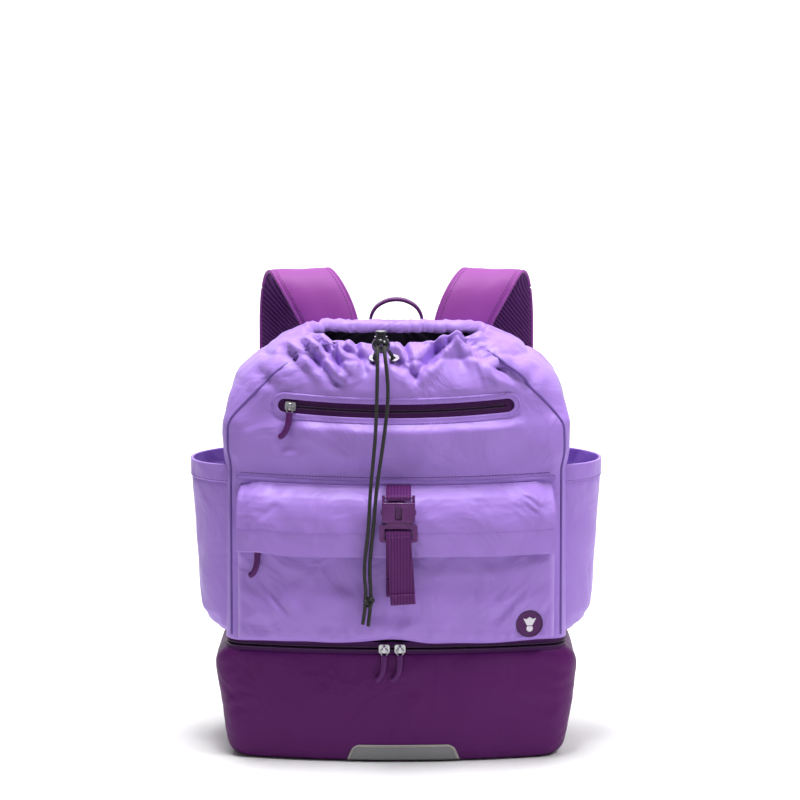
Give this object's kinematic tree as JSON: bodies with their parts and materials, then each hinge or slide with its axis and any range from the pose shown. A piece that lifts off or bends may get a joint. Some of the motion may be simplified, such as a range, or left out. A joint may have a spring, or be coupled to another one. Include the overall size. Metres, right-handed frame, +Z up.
{
  "type": "racket backpack",
  "caption": "Drawstring racket backpack with a zipped shoe compartment, two zipped front pockets, a buckled storm flap, side pockets, carry handle and padded shoulder straps.",
  "frame": {"origin": "on the floor under the middle of the bag, on the flat base of the shoe compartment", "axes": "+Z up, -Y out of the front panel, +X to the right seen from the front"},
  "size_m": [0.428, 0.2826, 0.4944],
  "materials": {
    "main_fabric": "smooth woven nylon, lavender",
    "hem_elastic": "elastic binding, lavender",
    "lining": "dark lining",
    "shoe_fabric": "smooth woven nylon, deep plum",
    "board": "stiffening board",
    "patch": "grey reflective fabric with a pale border",
    "zip_tape": "dark plum zip tape",
    "zip_coil": "nylon coil",
    "piping": "dark purple seam binding",
    "slider_metal": "dark silver cast metal",
    "eyelet_metal": "pressed metal",
    "pull_rubber": "plum moulded rubber",
    "badge_rubber": "plum moulded rubber",
    "badge_mark": "pale print",
    "strap_fabric": "magenta plum nylon over foam",
    "strap_mesh": "dark spacer mesh over foam",
    "webbing": "plum ribbed webbing",
    "buckle_plastic": "plum acetal",
    "cord": "charcoal braided cord",
    "cord_lock_plastic": "near black acetal"
  },
  "bodies": {
    "shoe_compartment": {"shoe_box_shell": "shoe_fabric", "shoe_base_board": "board", "reflective_patch": "patch", "shoe_zip_tape_lower": "zip_tape", "shoe_zip_coil_lower": "zip_coil", "rear_seam_lower": "piping"},
    "bag": {"main_shell": "main_fabric", "divider_floor": "lining", "shoe_zip_tape_upper": "zip_tape", "shoe_zip_coil_upper": "zip_coil", "rear_seam_upper": "piping", "drawstring_tunnel": "main_fabric", "tunnel_eyelets": "eyelet_metal", "upper_pouch": "lining", "upper_zip_tape": "zip_tape", "upper_zip_coil": "zip_coil", "front_piping": "piping", "lower_pocket": "main_fabric", "lower_zip_tape": "zip_tape", "lower_zip_coil": "zip_coil", "flap_seam": "main_fabric", "webbing_anchor": "webbing", "badge_disc": "badge_rubber", "badge_emblem": "badge_mark", "side_pocket_left": "main_fabric", "side_pocket_right": "main_fabric", "side_pocket_hem_left": "hem_elastic", "side_pocket_hem_right": "hem_elastic", "drawcord_left": "cord", "drawcord_right": "cord", "drawcord_knot": "cord", "back_pads": "strap_mesh", "lumbar_pad": "strap_mesh", "shoulder_strap_left": "strap_fabric", "shoulder_strap_right": "strap_fabric", "strap_mesh_left": "strap_mesh", "strap_mesh_right": "strap_mesh", "strap_adjusters": "buckle_plastic", "strap_loops": "webbing", "strap_webbings": "webbing", "strap_anchors": "webbing", "handle_tabs": "webbing"},
    "shoe_slider_left": {"shoe_slider_left": "slider_metal"},
    "shoe_slider_right": {"shoe_slider_right": "slider_metal"},
    "shoe_puller_left": {"shoe_puller_left": "pull_rubber"},
    "shoe_puller_right": {"shoe_puller_right": "pull_rubber"},
    "upper_slider": {"upper_slider": "slider_metal"},
    "upper_puller": {"upper_puller": "pull_rubber"},
    "lower_slider": {"lower_slider": "slider_metal"},
    "lower_puller": {"lower_puller": "pull_rubber"},
    "flap": {"flap_panel": "main_fabric", "flap_webbing": "webbing", "buckle_socket": "buckle_plastic"},
    "buckle_plug": {"buckle_plug": "buckle_plastic", "plug_webbing": "webbing"},
    "buckle_arm_left": {"buckle_arm_left": "buckle_plastic"},
    "buckle_arm_right": {"buckle_arm_right": "buckle_plastic"},
    "cord_lock": {"cord_lock_body": "cord_lock_plastic"},
    "cord_lock_button": {"cord_lock_button": "cord_lock_plastic"},
    "carry_handle": {"carry_handle": "webbing"}
  },
  "joints": [
    {"name": "bag_tilt", "type": "hinge", "parent": "shoe_compartment", "child": "bag", "pos_m": [0, 0.085, 0.1205], "axis": [-1, 0, 0], "range_deg": [0, 40]},
    {"name": "shoe_slider_left_travel", "type": "hinge", "parent": "shoe_compartment", "child": "shoe_slider_left", "pos_m": [0, 0.612, 0.1205], "axis": [0, 0, -1], "range_deg": [0, 11.26]},
    {"name": "shoe_slider_right_travel", "type": "hinge", "parent": "shoe_compartment", "child": "shoe_slider_right", "pos_m": [0, 0.612, 0.1205], "axis": [0, 0, 1], "range_deg": [0, 11.91]},
    {"name": "shoe_puller_left_swing", "type": "hinge", "parent": "shoe_slider_left", "child": "shoe_puller_left", "pos_m": [-0.01206, -0.0896, 0.1211], "axis": [-0.9999, 0.0172, 0], "range_deg": [0, 120]},
    {"name": "shoe_puller_right_swing", "type": "hinge", "parent": "shoe_slider_right", "child": "shoe_puller_right", "pos_m": [0.00402, -0.08969, 0.1211], "axis": [-1, -0.0057, 0], "range_deg": [0, 120]},
    {"name": "upper_slider_travel", "type": "hinge", "parent": "bag", "child": "upper_slider", "pos_m": [0, 0.44609, 0.66112], "axis": [0, -0.4875, 0.8731], "range_deg": [0, 20]},
    {"name": "upper_puller_swing", "type": "hinge", "parent": "upper_slider", "child": "upper_puller", "pos_m": [-0.10634, -0.08158, 0.36914], "axis": [-0.9848, 0.1516, 0.0847], "range_deg": [0, 150]},
    {"name": "lower_slider_travel", "type": "hinge", "parent": "bag", "child": "lower_slider", "pos_m": [0, 0.612, 0.229], "axis": [0, 0, 1], "range_deg": [0, 22.52]},
    {"name": "lower_puller_swing", "type": "hinge", "parent": "lower_slider", "child": "lower_puller", "pos_m": [-0.1398, -0.09032, 0.2296], "axis": [0.1952, 0.9808, 0], "range_deg": [-25, 25]},
    {"name": "flap_lift", "type": "hinge", "parent": "bag", "child": "flap", "pos_m": [0, -0.089, 0.2912], "axis": [-1, 0, 0], "range_deg": [0, 85]},
    {"name": "buckle_release", "type": "slide", "parent": "flap", "child": "buckle_plug", "axis": [0, 0, -1], "range_m": [0, 0.035], "deforming": ["buckle_arm_left", "buckle_arm_right"]},
    {"name": "buckle_squeeze_left", "type": "hinge", "parent": "buckle_plug", "child": "buckle_arm_left", "pos_m": [-0.0077, -0.1145, 0.2542], "axis": [0, 1, 0], "range_deg": [0, 16], "stiffness_Nm_per_rad": 0.1},
    {"name": "buckle_squeeze_right", "type": "hinge", "parent": "buckle_plug", "child": "buckle_arm_right", "pos_m": [0.0127, -0.1145, 0.2542], "axis": [0, -1, 0], "range_deg": [0, 16], "stiffness_Nm_per_rad": 0.1},
    {"name": "cord_lock_travel", "type": "slide", "parent": "bag", "child": "cord_lock", "axis": [0, -1, 0], "range_m": [0, 0.03], "deforming": ["drawcord_left", "drawcord_right"]},
    {"name": "cord_lock_press", "type": "slide", "parent": "cord_lock", "child": "cord_lock_button", "axis": [0, 0, -1], "range_m": [0, 0.003], "stiffness_N_per_m": 600},
    {"name": "carry_handle_swing", "type": "hinge", "parent": "bag", "child": "carry_handle", "pos_m": [0, 0.097, 0.427], "axis": [-1, 0, 0], "range_deg": [-15, 60]}
  ]
}
